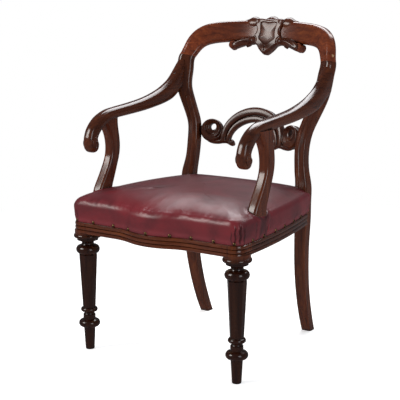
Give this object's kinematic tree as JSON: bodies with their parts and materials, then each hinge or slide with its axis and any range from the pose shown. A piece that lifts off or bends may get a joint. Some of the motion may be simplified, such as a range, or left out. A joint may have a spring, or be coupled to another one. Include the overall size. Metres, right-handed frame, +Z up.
{
  "type": "balloon back armchair",
  "caption": "Balloon back open armchair with turned front legs, sabre back legs, scrolled arms, a carved crest and cross rail, and a stuffed leather seat.",
  "frame": {"origin": "on the floor under the middle of the chair's bounding box", "axes": "+Z up, the front of the chair faces -Y, +X is the sitter's left"},
  "size_m": [0.563, 0.6526, 0.9092],
  "materials": {
    "mahogany": "French polished",
    "beech": "plain",
    "steel": "dull",
    "webbing": "woven jute",
    "hessian": "coarse weave",
    "hair": "matted hair",
    "leather": "glossy burgundy",
    "brass": "antiqued"
  },
  "bodies": {
    "root": {"front_leg_left": "mahogany", "front_leg_right": "mahogany", "back_leg_left": "mahogany", "back_leg_right": "mahogany", "crest_rail": "mahogany", "crest_carving": "mahogany", "cross_rail": "mahogany", "arm_left": "mahogany", "arm_right": "mahogany", "arm_support_left": "mahogany", "arm_support_right": "mahogany", "front_seat_rail": "mahogany", "side_seat_rail_left": "mahogany", "side_seat_rail_right": "mahogany", "back_seat_rail": "mahogany", "arm_screw_plug_left": "mahogany", "arm_screw_plug_right": "mahogany", "corner_block_front_left": "beech", "corner_block_front_right": "beech", "corner_block_back_left": "beech", "corner_block_back_right": "beech", "seat_rail_dowels": "beech", "crest_rail_dowels": "beech", "arm_support_dowels": "beech", "arm_screws": "steel", "corner_block_screws": "steel", "webbing_tacks": "steel", "webbing_front_to_back": "webbing", "webbing_side_to_side": "webbing", "hessian": "hessian", "seat_stuffing": "hair", "seat_leather": "leather", "brass_nails": "brass"}
  },
  "joints": []
}
